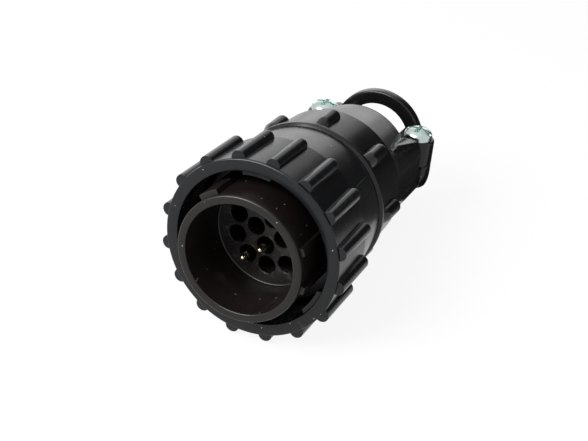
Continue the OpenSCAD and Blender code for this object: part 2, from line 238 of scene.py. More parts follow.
class StrapSizes(bpy.types.PropertyGroup):
    """Sizes of the strap."""

    inner: length("Arch inner radius", 6.85, "Inner radius of the arch")
    outer: length("Arch outer radius", 9.55, "Outer radius of the arch")
    rise: length("Arch rise", 1.2, "Height of the arch's centre over the parting face")
    width: length("Arch width", 2.2, "Width of the arch along the plug")
    end: length("Strap end", 58.9, "Rear end of the strap")
    spread: length("Screw spread", 10.4, "Distance of a screw from the plug's middle")
    screw_at: length("Screw place", 52.6, "Where the screws are")
    foot: length("Foot radius", 3.4, "Radius of a foot about its screw")
    foot_end: length("Foot end", 10.14, "Half width of the strap at its rear end")
    height: length("Foot height", 5.2, "Height of a foot")
    hole: length("Foot hole", 1.8, "Radius of the hole through a foot")


class ScrewSizes(bpy.types.PropertyGroup):
    """Sizes of the screws."""

    head: length("Head radius", 2.8, "Radius of the head")
    head_height: length("Head height", 2.1, "Height of the head")
    shank: length("Shank radius", 1.6, "Radius over the thread")
    thread_depth: length("Thread depth", 0.3, "Depth of the thread")
    pitch: length("Pitch", 0.8, "Rise of the thread in one turn")
    length: length("Length", 9, "Length below the head")
    slot: length("Slot", 0.8, "Width of the slot and of the cross")
    slot_depth: length("Slot depth", 0.9, "Depth of the slot")


class Finishes(bpy.types.PropertyGroup):
    """Colours and gloss of the pieces."""

    ring: colour("Ring", (0.0042, 0.0046, 0.0056), "Moulded black of the ring")
    ring_rough: share("Ring roughness", 0.25, "Roughness of the ring")
    shell: colour("Shell", (0.0062, 0.0044, 0.004), "Brownish moulded black of the shell")
    shell_rough: share("Shell roughness", 0.3, "Roughness of the shell")
    clamp: colour("Clamp", (0.0044, 0.0041, 0.0043), "Moulded black of the clamp and strap")
    clamp_rough: share("Clamp roughness", 0.23, "Roughness of the clamp and strap")
    pin: colour("Pin", (0.62, 0.53, 0.34), "Thin gilt plating of the pins")
    spring: colour("Spring", (0.6, 0.61, 0.62), "Spring steel of the clips")
    zinc: colour("Zinc", (0.5, 0.58, 0.57), "Blue-white zinc plate of the screws")


SETTINGS = {
    "plug_ring": RingSizes,
    "plug_shell": ShellSizes,
    "plug_contacts": ContactSizes,
    "plug_clamp": ClampSizes,
    "plug_strap": StrapSizes,
    "plug_screws": ScrewSizes,
    "plug_finishes": Finishes,
}

# ---------------------------------------------------------------- shapes


def placed(points):
    """Points in the plug's axes, laid where the packed part lies."""
    return ORIGIN + points @ np.stack([ACROSS, ALONG, UPWARD])


def turned(radius, along, about):
    """Points at a radius from the plug's axis, a distance along it and an angle about it."""
    radius, along, about = np.broadcast_arrays(radius, along, about)
    return np.stack([radius * np.cos(about), along, radius * np.sin(about)], -1)


def rounded(corners, rounds, steps=5):
    """Outline with every corner an arc that touches both its sides.

    With half the corner's opening h, the arc starts round / tan(h) from the corner and its
    centre lies round / sin(h) from it. A corner with no round stays one point.
    """
    corners = np.asarray(corners, float)
    rounds = np.broadcast_to(np.asarray(rounds, float), len(corners))[:, None]
    back = np.roll(corners, 1, 0) - corners
    ahead = np.roll(corners, -1, 0) - corners
    back /= np.linalg.norm(back, axis=1, keepdims=True)
    ahead /= np.linalg.norm(ahead, axis=1, keepdims=True)
    opening = np.arccos(np.clip((back * ahead).sum(1, keepdims=True), -1, 1))
    half = np.maximum(opening / 2, 1e-3)
    middle = back + ahead
    middle /= np.maximum(np.linalg.norm(middle, axis=1, keepdims=True), 1e-9)
    centre = corners + middle * rounds / np.sin(half)
    start = corners + back * rounds / np.tan(half) - centre
    end = corners + ahead * rounds / np.tan(half) - centre
    sweep = np.maximum(math.pi - opening, 1e-6)
    t = np.linspace(0, 1, steps)[None, :, None]
    turn = sweep[:, None]
    arc = np.sin((1 - t) * turn) * start[:, None] + np.sin(t * turn) * end[:, None]
    arc = centre[:, None] + arc / np.sin(turn)
    straight = (rounds < MERGE) | (opening > math.pi - 1e-4)
    arc = np.where(straight[:, None], corners[:, None], arc)
    return arc.reshape(-1, 2)


def smooth_max(a, b, blend):
    """The greater of two heights, with a fillet of about the given size where they cross."""
    return (a + b + np.sqrt((a - b) ** 2 + blend**2)) / 2


def sector(about, centre, width, soft):
    """One inside a sector about an angle, nought outside, with sides as wide as soft."""
    off = np.abs((about - centre + math.pi) % (2 * math.pi) - math.pi)
    return np.clip((width / 2 + soft / 2 - off) / soft, 0, 1)


def grid_faces(rows, columns, wrap_rows, wrap_columns):
    """Corner numbers of the quads of a grid whose points are numbered row by row."""
    i = np.arange(rows if wrap_rows else rows - 1)[:, None]
    j = np.arange(columns if wrap_columns else columns - 1)[None, :]
    below, beside = (i + 1) % rows, (j + 1) % columns
    corners = (i * columns + j, i * columns + beside, below * columns + beside, below * columns + j)
    return np.stack([c.ravel() for c in np.broadcast_arrays(*corners)], 1)


def make_piece(name, patches, sharp=30 * DEG, lay=True):
    """One object from closed grids: (points, rows joined end to end, columns joined).

    Doubles are merged, which closes poles and seams, and the faces are turned outwards.
    """
    points, faces, count = [], [], 0
    for grid, wrap_rows, wrap_columns in patches:
        rows, columns = grid.shape[:2]
        faces.append(grid_faces(rows, columns, wrap_rows, wrap_columns) + count)
        points.append(grid.reshape(-1, 3))
        count += rows * columns
    points = np.concatenate(points)
    mesh = bpy.data.meshes.new(name)
    mesh.from_pydata(placed(points) if lay else points, [], np.concatenate(faces))
    piece = bpy.data.objects.new(name, mesh)
    bpy.context.scene.collection.objects.link(piece)
    tidy_mesh(mesh, sharp)
    return piece


def solid(name, grid, sharp=30 * DEG):
    """One object from a grid whose columns are joined and whose ends close on points."""
    return make_piece(name, [(grid, False, True)], sharp)


def closed(grid):
    """A grid whose first and last rows are drawn in to a point, which closes it."""
    ends = [np.broadcast_to(grid[i].mean(0), grid[i].shape)[None] for i in (0, -1)]
    return np.concatenate([ends[0], grid, ends[1]])


def tidy_mesh(mesh, sharp):
    """Merges doubles, turns faces outwards and shades smooth up to an angle."""
    work = bmesh.new()
    work.from_mesh(mesh)
    bmesh.ops.remove_doubles(work, verts=work.verts, dist=MERGE)
    bmesh.ops.dissolve_degenerate(work, edges=work.edges, dist=MERGE)
    bmesh.ops.recalc_face_normals(work, faces=work.faces)
    work.to_mesh(mesh)
    work.free()
    shade(mesh, sharp)


def shade(mesh, sharp):
    """Shades a mesh smooth, with edges sharper than an angle left sharp."""
    mesh.polygons.foreach_set("use_smooth", np.ones(len(mesh.polygons), bool))
    mesh.set_sharp_from_angle(angle=sharp)
    mesh.update()


def carve(piece, cutter, sharp=30 * DEG, operation="DIFFERENCE"):
    """Takes a closed piece out of another for good, or adds it."""
    step = piece.modifiers.new("Carve", "BOOLEAN")
    step.operation, step.solver, step.object = operation, "EXACT", cutter
    bpy.context.view_layer.update()
    solid = piece.evaluated_get(bpy.context.evaluated_depsgraph_get())
    mesh = bpy.data.meshes.new_from_object(solid)
    piece.modifiers.clear()
    piece.data = mesh
    mesh.name = piece.name
    bpy.data.objects.remove(cutter)
    shade(mesh, sharp)


def finish_piece(piece, body, slot, material, *nodes):
    """Gives a piece its finish and its body, and hides the packed nodes it stands for."""
    piece.data.materials.clear()
    piece.data.materials.append(material)
    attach(piece, body)
    if nodes:
        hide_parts(*nodes)


def cavity_places(sizes):
    """Centres across and up, in the plug's axes, of the outer and of the inner cavities."""
    places = []
    for count, circle, phase in (
        (sizes.outer_count, sizes.outer_circle, sizes.outer_phase),
        (sizes.inner_count, sizes.inner_circle, sizes.inner_phase),
    ):
        about = phase + np.arange(count) * 2 * math.pi / count
        places.append(np.stack([circle * np.cos(about), circle * np.sin(about)], 1))
    return places


def rod_profile(radius, start, end):
    """The (radius, place) profile of a plain rod."""
    return np.array([[0, start], [radius, start], [radius, end], [0, end]])


def rods(profile, centres, segments=48):
    """Turned rods parallel to the plug's axis: a (radius, along) profile spun about each centre."""
    about = np.linspace(0, 2 * math.pi, segments, endpoint=False)
    rod = turned(profile[:, :1], profile[:, 1:], about)
    shift = np.stack([centres[:, 0], 0 * centres[:, 0], centres[:, 1]], 1)
    return [(rod + s, False, True) for s in shift]


# ---------------------------------------------------------------- finishes


def set_inputs(tree, node, values):
    """Sets a node's inputs by name or number: a socket is linked, a value becomes the default."""
    for key, value in values.items():
        if isinstance(value, bpy.types.NodeSocket):
            tree.links.new(value, node.inputs[key])
        else:
            node.inputs[key].default_value = value


def add_node(tree, kind, values=None, **settings):
    """A node with its settings and its inputs."""
    made = tree.nodes.new(kind)
    for key, value in settings.items():
        setattr(made, key, value)
    set_inputs(tree, made, values or {})
    return made


def arithmetic(tree, operation, a, b, clamp=False):
    """The output of a Math node on two numbers or sockets."""
    values = {0: a, 1: b}
    return add_node(tree, "ShaderNodeMath", values, operation=operation, use_clamp=clamp).outputs[0]


def mixed(tree, part, first, second):
    """A mix of two colours, each a socket or red, green and blue."""
    pair = [c if isinstance(c, bpy.types.NodeSocket) else (*c, 1) for c in (first, second)]
    values = {0: part, 6: pair[0], 7: pair[1]}
    return add_node(tree, "ShaderNodeMix", values, data_type="RGBA").outputs[2]


def own_place(tree):
    """The place on the piece, in its own coordinates."""
    return add_node(tree, "ShaderNodeTexCoord").outputs["Object"]


def noise(tree, scale, detail):
    """Noise in the piece's own coordinates."""
    values = {"Vector": own_place(tree), "Scale": scale, "Detail": detail}
    return add_node(tree, "ShaderNodeTexNoise", values).outputs["Fac"]


def new_group(name, inputs, outputs):
    """An empty shader node group with number sockets, and what its inputs give."""
    group = bpy.data.node_groups.new(name, "ShaderNodeTree")
    for title, default in inputs.items():
        socket = group.interface.new_socket(title, in_out="INPUT", socket_type="NodeSocketFloat")
        socket.default_value = default
    for title in outputs:
        group.interface.new_socket(title, in_out="OUTPUT", socket_type="NodeSocketFloat")
    return group, group.nodes.new("NodeGroupInput").outputs


def moulded_skin(name):
    """Fine grain and slow waves of a moulded skin, and the uneven gloss that goes with them."""
    inputs = {"Grain scale": 4200.0, "Roughness": 0.35, "Unevenness": 0.1, "Wave depth": 0.6}
    group, given = new_group(name, inputs, ["Height", "Roughness", "Mottle"])
    grain = arithmetic(group, "MULTIPLY", noise(group, given["Grain scale"], 3.0), 0.06)
    wave = arithmetic(group, "MULTIPLY", noise(group, 190.0, 2.0), given["Wave depth"])
    mottle = noise(group, 420.0, 4.0)
    off = arithmetic(group, "SUBTRACT", mottle, 0.5)
    off = arithmetic(group, "MULTIPLY", off, given["Unevenness"])
    gloss = arithmetic(group, "ADD", off, given["Roughness"], clamp=True)
    height = arithmetic(group, "ADD", grain, wave)
    add_node(group, "NodeGroupOutput", {"Height": height, "Roughness": gloss, "Mottle": mottle})
    return group


def pale_specks(name):
    """Sparse round specks: cells whose centre is near and whose random number is low enough."""
    group, given = new_group(name, {"Scale": 700.0, "Size": 0.09, "Share": 0.2}, ["Mask"])
    values = {"Vector": own_place(group), "Scale": given["Scale"]}
    cells = add_node(group, "ShaderNodeTexVoronoi", values).outputs
    near = arithmetic(group, "LESS_THAN", cells["Distance"], given["Size"])
    random = add_node(group, "ShaderNodeSeparateColor", {0: cells["Color"]}).outputs[0]
    chosen = arithmetic(group, "LESS_THAN", random, given["Share"])
    add_node(group, "NodeGroupOutput", {"Mask": arithmetic(group, "MULTIPLY", near, chosen)})
    return group


def rubbed_edges(name):
    """Rubbed edges: the surface's own sharpness, broken up by noise."""
    group, given = new_group(name, {"Start": 0.53, "Softness": 0.05}, ["Mask"])
    sharpness = add_node(group, "ShaderNodeNewGeometry").outputs["Pointiness"]
    rise = arithmetic(group, "SUBTRACT", sharpness, given["Start"])
    rise = arithmetic(group, "DIVIDE", rise, given["Softness"], clamp=True)
    broken = arithmetic(group, "SUBTRACT", noise(group, 900.0, 5.0), 0.42)
    broken = arithmetic(group, "MULTIPLY", broken, 4.0, clamp=True)
    add_node(group, "NodeGroupOutput", {"Mask": arithmetic(group, "MULTIPLY", rise, broken)})
    return group


EFFECTS = {"Moulded skin": moulded_skin, "Specks": pale_specks, "Rubbed edges": rubbed_edges}


def effect(tree, name, values=None):
    """The outputs of a shared effect, whose group is made on first use."""
    group = bpy.data.node_groups.get(name) or EFFECTS[name](name)
    return add_node(tree, "ShaderNodeGroup", values, node_tree=group).outputs


def new_material(name):
    """A material with one Principled shader, and that shader."""
    material = bpy.data.materials.new(name)
    material.use_nodes = True
    return material, material.node_tree, material.node_tree.nodes["Principled BSDF"]


def skinned(tree, shader, skin, tone, strength, distance):
    """Gives a shader its colour, and the gloss and relief of a moulded skin."""
    relief = {"Height": skin["Height"], "Strength": strength, "Distance": distance}
    bump = add_node(tree, "ShaderNodeBump", relief).outputs[0]
    set_inputs(tree, shader, {"Base Color": tone, "Roughness": skin["Roughness"], "Normal": bump})


def plastic(name, rgb, roughness, dust=0.2, worn=0.35):
    """Moulded black plastic: grain, uneven gloss, pale specks and rubbed edges."""
    material, tree, shader = new_material(name)
    skin = effect(tree, "Moulded skin", {"Roughness": roughness})
    specks = effect(tree, "Specks", {"Share": dust})["Mask"]
    rubbed = arithmetic(tree, "MULTIPLY", effect(tree, "Rubbed edges")["Mask"], worn)
    tone = mixed(tree, skin["Mottle"], [0.8 * c for c in rgb], [1.2 * c for c in rgb])
    tone = mixed(tree, specks, mixed(tree, rubbed, tone, RUBBED), DUST)
    skinned(tree, shader, skin, tone, 0.35, 0.06 * MM)
    set_inputs(tree, shader, {"IOR": 1.5, "Specular IOR Level": PLASTIC_SPECULAR})
    return material


def plated(name, rgb, roughness, tint):
    """Plated metal: two tones of plating in soft patches, and fine uneven gloss."""
    material, tree, shader = new_material(name)
    skin = effect(tree, "Moulded skin", {"Roughness": roughness, "Unevenness": 0.2})
    skinned(tree, shader, skin, mixed(tree, skin["Mottle"], rgb, tint), 0.4, 0.04 * MM)
    set_inputs(tree, shader, {"Metallic": 1})
    return material


def finish(name):
    """A finish by name, made on first use."""
    if name in bpy.data.materials:
        return bpy.data.materials[name]
    look = bpy.context.scene.plug_finishes
    makers = {
        "Ring plastic": lambda n: plastic(n, look.ring, look.ring_rough),
        "Shell plastic": lambda n: plastic(n, look.shell, look.shell_rough, 0.35, 0.5),
        "Clamp plastic": lambda n: plastic(n, look.clamp, look.clamp_rough, 0.12),
        "Gilt": lambda n: plated(n, look.pin, 0.16, (0.72, 0.68, 0.52)),
        "Spring steel": lambda n: plated(n, look.spring, 0.25, (0.5, 0.5, 0.5)),
        "Zinc": lambda n: plated(n, look.zinc, 0.24, (0.4, 0.48, 0.45)),
    }
    return makers[name](name)


# ---------------------------------------------------------------- pieces


def rib_offsets(half, pitch):
    """Distances across one rib's pitch, close together where its sides rise."""
    shares = [np.linspace(0, 0.88, 8), np.linspace(0.93, 1.12, 8), np.linspace(1.2, 1.5, 4)]
    right = half * np.concatenate(shares)
    right = np.concatenate([right, np.linspace(right[-1], pitch / 2, 4)[1:]])
    return np.concatenate([-right[:0:-1], right[:-1]])


def rib_crown(across, along, top, half, end, tip, steep=6.0):
    """Height of a half-round rib that ends in a finger tip.

    With u the distance across and v the distance past the start of the tip, scaled to the rib's
    half width, it is top - half + sqrt(half^2 - u^2 - v^2), and falls steeply outside that.
    """
    past = np.clip(along - (end - tip), 0, None) * half / tip
    out = np.hypot(across, past)
    arch = np.sqrt(np.clip(half**2 - out**2, 0, None))
    return top - half + np.where(out < half, arch, -steep * (out - half))


class PLUG_OT_ring(bpy.types.Operator):
    """Coupling ring: half-round ribs, plain collar, lugs inside its mouth"""

    bl_idname = "plug.ring"
    bl_label = "Coupling Ring"

    def execute(self, context):
        s = context.scene.plug_ring
        half, edge = s.rib_width / 2, s.edge
        pitch = 2 * math.pi * s.radius / s.ribs
        offsets = rib_offsets(half, pitch)
        centres = s.rib_turn + np.arange(s.ribs) * 2 * math.pi / s.ribs

        # angles about the axis, each with its distance from the nearest rib
        at_seam = s.seam + np.array([-0.45, -0.2, 0, 0.2, 0.45]) * DEG
        nearest = (at_seam[:, None] - centres + math.pi) % (2 * math.pi) - math.pi
        nearest = nearest[np.arange(len(at_seam)), np.abs(nearest).argmin(1)] * s.radius
        about = np.concatenate([(centres[:, None] + offsets / s.radius).ravel(), at_seam])
        order = np.argsort(about % (2 * math.pi))
        across = np.concatenate([np.tile(offsets, s.ribs), nearest])[order]
        about = about[order]

        # outside, from the front edge to the rear edge
        step_end = s.rib_end + 0.55 * MM
        along = np.concatenate([
            [0.9 * s.rib_front, s.rib_front - STEP, s.rib_front],
            s.rib_front + np.array([0.02, 0.06, 0.12, 0.2, 0.5, 1.5]) * MM,
            np.linspace(3 * MM, s.rib_end - 1.5 * MM, 8),
            np.linspace(s.rib_end - 1.3 * MM, s.rib_end + 0.12 * MM, 16),
            [s.rib_end + 0.2 * MM, s.rib_end + 0.25 * MM, step_end, step_end + 0.1 * MM],
            np.linspace(step_end + 0.5 * MM, s.length - edge, 8),
        ])
        base = np.interp(
            along,
            [edge, s.rib_end + 0.2 * MM, s.rib_end + 0.3 * MM, s.length - edge],
            [s.radius, s.radius - s.fall, s.step_radius, s.rear_radius],
        )
        top = s.radius + s.rib_height - s.rib_fall * along / s.rib_end
        crown = rib_crown(across, along[:, None], top[:, None], half, s.rib_end, 0.9 * MM)
        corner = 0.12 * MM
        into = np.clip((along - s.rib_front) / corner, 0, 1)
        crown -= (corner * (1 - np.sqrt(1 - (1 - into) ** 2)))[:, None]
        crown = np.where((along < s.rib_front)[:, None], 0, crown)
        outside = smooth_max(base[:, None], crown, 0.16 * MM)
        outside = np.where((along < s.rib_front)[:, None], base[:, None], outside)
        seam = np.clip((along - step_end) / MM, 0, 1)
        seam = seam * np.clip((s.length - 0.6 * MM - along) / MM, 0, 1)
        outside += s.seam_height * seam[:, None] * sector(about, s.seam, 0.15 * DEG, 0.4 * DEG)

        # inside, from the rear end back to the mouth, with the lugs
        shoulder_end = s.shoulder_at + s.shoulder_width
        inner = rounded(
            np.array([
                [s.rear_radius, s.length], [s.relief, s.length], [s.relief, shoulder_end],
                [s.shoulder, shoulder_end], [s.shoulder, s.shoulder_at], [s.bore, s.shoulder_at],
                [s.bore, s.lug_end], [s.bore, s.lug_end - 0.4 * MM], [s.bore, s.lug_front + STEP],
                [s.bore, s.lug_front], [s.bore, 0], [s.radius, 0],
            ]),
            [edge, edge / 2, 0, edge / 2, edge / 2, edge / 2, 0, 0, 0, 0, edge, edge],
        )
        lug_at = [s.lug_front, s.lug_front + STEP, s.lug_end - 0.4 * MM, s.lug_end]
        lug = np.interp(inner[:, 1], lug_at, [0, 1, 1, 0])
        lug = lug * (np.abs(inner[:, 0] - s.bore) < MERGE)
        fill = sum(
            sector(about, s.lug_centre + i * 2 * math.pi / s.lugs, s.lug_width, 0.6 * DEG)
            for i in range(s.lugs)
        )
        inside = inner[:, :1] - s.lug_height * lug[:, None] * fill
        radius = np.concatenate([outside, inside])
        station = np.concatenate([along, inner[:, 1]])[:, None]
        ring = make_piece("ring_moulding", [(turned(radius, station, about), True, True)])
        finish_piece(ring, "ring", "ring_plastic", finish("Ring plastic"), "coupling_ring")
        return {"FINISHED"}


class PLUG_OT_shell(bpy.types.Operator):
    """Plug shell: open nose with keys, contact face with its cavities, flange, barrel and thread"""

    bl_idname = "plug.shell"
    bl_label = "Plug Shell"

    def execute(self, context):
        s, c = context.scene.plug_shell, context.scene.plug_contacts
        bore, edge = s.nose - s.wall, s.edge
        flange_end = s.flange_at + s.flange_width
        profile = rounded(
            np.array([
                [0, s.floor], [bore, s.floor], [bore, -s.reach], [s.nose, -s.reach],
                [s.nose, s.key_front], [s.nose, s.key_front + STEP],
                [s.nose, s.key_front + 0.15 * MM], [s.nose, s.flange_at], [s.flange, s.flange_at],
                [s.flange, flange_end], [s.barrel, flange_end], [s.barrel, s.seat],
                [s.thread, s.seat], [s.thread, s.thread_end], [s.rear_bore, s.thread_end],
                [s.rear_bore, s.insert_end], [0, s.insert_end],
            ]),
            [0, 0.35 * MM, 0.22 * MM, edge, 0, 0, 0, 0, edge, edge, 0, edge, 0, edge, edge, 0, 0],
        )
        sides = np.concatenate([
            s.wide_key + np.array([-0.5, 0.5]) * s.wide_key_width,
            *(k + np.array([-0.5, 0.5]) * s.narrow_key_width for k in NARROW_KEYS),
        ])
        about = np.concatenate([
            np.linspace(0, 2 * math.pi, 192, endpoint=False),
            (sides[:, None] + np.array([-0.5, -0.35, 0.35, 0.5]) * DEG).ravel(),
        ])
        about = np.unique(np.round(about % (2 * math.pi), 5))
        on_nose = np.abs(profile[:, 0] - s.nose) < MERGE
        rise = np.interp(
            profile[:, 1],
            [s.key_front, s.key_front + STEP, s.key_front + 0.15 * MM, s.flange_at],
            [0, 0.88, 1, 1],
        )
        keys = s.wide_key_height * sector(about, s.wide_key, s.wide_key_width, 0.7 * DEG) + sum(
            s.narrow_key_height * sector(about, k, s.narrow_key_width, 0.7 * DEG)
            for k in NARROW_KEYS
        )
        radius = profile[:, :1] + (rise * on_nose)[:, None] * keys
        shell = solid("shell_moulding", turned(radius, profile[:, 1:], about))

        mouth, neck_at = c.cavity + c.mouth, s.floor + c.depth
        pocket_at = neck_at + NECK_LENGTH
        pocket_end = pocket_at + POCKET_LENGTH
        hole = np.array([
            [0, s.floor - MM], [mouth, s.floor - MM], [mouth, s.floor],
            [c.cavity, s.floor + c.mouth], [c.cavity, neck_at], [NECK, neck_at],
            [NECK, pocket_at], [POCKET, pocket_at],
            [POCKET, pocket_end], [WIRE_WAY, pocket_end], [WIRE_WAY, s.insert_end + MM],
            [0, s.insert_end + MM],
        ])
        cutter = make_piece("cavity_cutter", rods(hole, np.concatenate(cavity_places(c))))
        carve(shell, cutter)
        finish_piece(shell, "shell", "shell_plastic", finish("Shell plastic"), "plug_shell")
        return {"FINISHED"}


class PLUG_OT_contacts(bpy.types.Operator):
    """Contacts: two turned pins in their cavities, with their spring clips"""

    bl_idname = "plug.contacts"
    bl_label = "Contacts"

    def execute(self, context):
        s, c = context.scene.plug_shell, context.scene.plug_contacts
        tip = s.floor - c.pin_reach
        pocket_at = s.floor + c.depth + NECK_LENGTH
        turn = np.linspace(0, math.pi / 2, 9)[:, None]
        bullet = np.hstack([c.pin * np.sin(turn) ** 0.9, tip + 2 * c.pin * (1 - np.cos(turn))])
        tail = np.array(TAIL) * MM + [0, pocket_at]
        profile = np.vstack([bullet, [[c.pin, pocket_at]], tail])
        outer, inner = cavity_places(c)
        for name, place in (("outer", outer[c.outer_pin]), ("inner", inner[c.inner_pin])):
            pin = make_piece(f"pin_{name}", rods(profile, place[None]))
            finish_piece(pin, "shell", "contact_metal", finish("Gilt"), f"pin_contact_{name}")
            clip = frame["nodes"][f"contact_clip_{name}"]
            clip.data.materials.clear()
            clip.data.materials.append(finish("Spring steel"))
        return {"FINISHED"}


class PLUG_OT_clamp(bpy.types.Operator):
    """Cable clamp: lip, ribbed collar, tapering housing, side walls with ears, and trough"""

    bl_idname = "plug.clamp"
    bl_label = "Cable Clamp"

    def execute(self, context):
        s, strap = context.scene.plug_clamp, context.scene.plug_strap
        clamp = solid("clamp_moulding", ribbed_housing(s))
        added = [shape(s, strap, side) for side in (1, -1) for shape in (side_wall, ear_column)]
        for shape in (*added, trough_block(s, strap)):
            carve(clamp, solid("added_tool", shape), operation="UNION")

        # hollow of the housing, trough, open top behind the rim and screw holes
        bore = np.array([
            [0, s.front - MM], [s.thread, s.front - MM], [s.thread, s.thread_end],
            [s.collar_end_radius - s.wall, s.collar_end], [s.rim_bore, s.rim],
            [s.rim_bore, s.rim + CLEAR], [0, s.rim + CLEAR],
        ])
        channel = rod_profile(strap.inner, s.rim - 3 * MM, strap.end + MM)
        for profile in (bore, channel):
            carve(clamp, make_piece("bore_tool", rods(profile, np.zeros((1, 2)), 128)))
        reach, open_from = 20 * MM, s.rim + 2 * CLEAR
        carve(clamp, block("open_top_tool", (-reach, open_from, 0), (reach, 80 * MM, reach)))
        pilots = upright_rods(s.pilot_radius, -s.pilot_depth, MM, strap)
        carve(clamp, make_piece("pilot_tool", pilots))
        finish_piece(clamp, "shell", "clamp_plastic", finish("Clamp plastic"), "cable_clamp")
        return {"FINISHED"}


def ribbed_housing(s):
    """Outside of lip, collar with its ribs, and taper, closed on the axis at both ends."""
    half = s.rib_width / 2
    offsets = rib_offsets(half, 2 * math.pi * s.collar / s.ribs)
    centres = 90 * DEG + np.arange(s.ribs)[:, None] * 2 * math.pi / s.ribs
    about = (centres + offsets / s.collar).ravel()
    across = np.tile(offsets, s.ribs)

    # front face and its rounded corner, the second of three that rounded() makes
    lip_end, bevel, lip_round, steps = s.front + s.lip_width, 0.5 * MM, 0.3 * MM, 5
    corners = [[s.lip - bevel, s.front], [s.lip, s.front + bevel], [s.lip, lip_end]]
    corner = rounded(corners, [0, 0.2 * MM, 0], steps)[steps : 2 * steps]
    lip = np.vstack([[[0, s.front], [s.lip - bevel, s.front]], corner])

    along = np.concatenate([
        lip_end + np.array([-0.3, -0.24, -0.17, -0.1, -0.04, 0.01, 0.1, 0.2, 0.3, 0.42]) * MM,
        np.linspace(lip_end + 0.6 * MM, s.rib_end - 1.6 * MM, 9),
        np.linspace(s.rib_end - 1.5 * MM, s.rib_end + 0.15 * MM, 18),
        np.linspace(s.rib_end + 0.3 * MM, s.collar_end - 0.3 * MM, 4),
        s.collar_end + np.array([-0.15, -0.05, 0, 0.04, 0.1, 0.2, 0.3]) * MM,
        np.linspace(s.collar_end + 0.8 * MM, s.rim - 0.3 * MM, 24),
        s.rim + np.array([-0.2, -0.1, -0.03]) * MM,
    ])
    slopes = np.array([
        [lip_end + 0.02 * MM, s.collar],
        [s.collar_end - 0.1 * MM, s.collar_end_radius],
        [s.collar_end + 0.02 * MM, s.collar_end_radius - 0.1 * MM],
        [s.collar_end + 0.2 * MM, s.collar_end_radius - 0.3 * MM],
        [s.rim - 0.6 * MM, s.rim_radius + 0.1 * MM],
        [s.rim, s.rim_radius - 0.7 * MM],
    ])
    back = np.clip((along - lip_end + lip_round) / lip_round, 0, 1)
    rounded_lip = s.lip - lip_round * (1 - np.sqrt(1 - back**2))
    on_lip = along < lip_end + 0.005 * MM
    base = np.where(on_lip, rounded_lip, np.interp(along, *slopes.T))
    top = s.collar + s.rib_height
    crown = rib_crown(across, along[:, None], top, half, s.rib_end, 1.1 * MM)
    crown -= 0.3 * np.clip(lip_end + 1.9 * MM - along, 0, None)[:, None]
    outside = smooth_max(base[:, None], crown, 0.14 * MM)
    rear = [[s.rim_radius - 0.9 * MM, s.rim], [0, s.rim]]
    profile = np.vstack([lip, np.stack([base, along], 1), rear])
    radius = np.repeat(profile[:, :1], len(about), 1)
    radius[len(lip) : len(lip) + len(along)] = outside
    return turned(radius, profile[:, 1:], about)


def stacked(levels, circles, directions=160):
    """Closed stack of outlines, each the tight band around that level's circles.

    For a direction u, a circle with centre c and radius r reaches c.u + r. The outline's point
    for u lies on the circle that reaches furthest, at c + r u.
    """
    about = np.linspace(0, 2 * math.pi, directions, endpoint=False) + 1e-3
    toward = np.stack([np.cos(about), np.sin(about)], 1)
    centre, radius = circles[..., :2], circles[..., 2]
    reach = centre @ toward.T + radius[..., None]
    pick = reach.argmax(1)
    level = np.arange(len(levels))[:, None]
    flat = centre[level, pick] + radius[level, pick][..., None] * toward
    grid = np.concatenate([flat, np.broadcast_to(levels[:, None, None], (*flat.shape[:2], 1))], -1)
    return closed(grid)


def soft_ends(low, high, soft, steps=5):
    """Levels between two heights, close at both ends, and how far the outline draws in there.

    Within soft of an end the draw-in is soft (1 - cos t) while the height moves by soft sin t.
    """
    t = np.linspace(0, math.pi / 2, steps)
    rise, inward = soft * (1 - np.cos(t)), soft * (1 - np.sin(t))
    middle = np.linspace(low + soft, high - soft, 40)[1:-1]
    levels = np.concatenate([low + rise, middle, high - rise[::-1]])
    return levels, np.concatenate([inward, 0 * middle, inward[::-1]])


def side_wall(s, strap, side):
    """Wall from the housing's full radius back to an ear, as a stack of outlines.

    At each height the outline runs round a narrow strip on the housing and round the ear. Above
    the ear's top the ear's circle moves to the strip, by the share (top - z) / (top - ear top).
    """
    top = s.wall_radius * math.sin(s.wall_top)
    levels, inward = soft_ends(-s.ear_depth, top - 0.1 * MM, 0.5 * MM)
    share = np.clip((top - levels) / (top - strap.height), 0, 1)
    reach = np.sqrt(s.wall_radius**2 - np.clip(levels, -0.34 * s.wall_radius, None) ** 2)
    near = s.wall_radius * math.cos(s.wall_top)
    soft = 0.3 * MM
    over = np.clip((levels - top + s.shoulder) / s.shoulder, 0, 1)
    draw = s.shoulder * (1 - np.sqrt(1 - over**2)) / 2
    narrow = s.ear_slim * s.ear * ear_round(s, levels)
    start = s.wall_front + soft
    far = np.maximum(reach - soft - draw, near + soft)
    strip_in = np.stack([0 * levels + near + soft, 0 * levels + start, soft - 0.4 * inward], 1)
    strip_out = np.stack([far, 0 * levels + start, soft - 0.4 * inward], 1)
    ear = np.stack([
        near + soft + share * (strap.spread - near - soft) - draw / 2,
        start + share * (strap.screw_at - start),
        np.maximum(soft + share * (narrow - soft) - inward - draw / 2, 0.05 * MM),
    ], 1)
    return stacked(levels, np.stack([strip_in, strip_out, ear], 1)) * [side, 1, 1]


def ear_round(s, levels):
    """Share of its full radius that an ear keeps: 1, then a quarter ellipse below its straight."""
    under = np.clip((-s.ear_straight - levels) / (s.ear_depth - s.ear_straight), 0, 1)
    least = s.ear_foot / s.ear
    return least + (1 - least) * np.sqrt(1 - under**2)


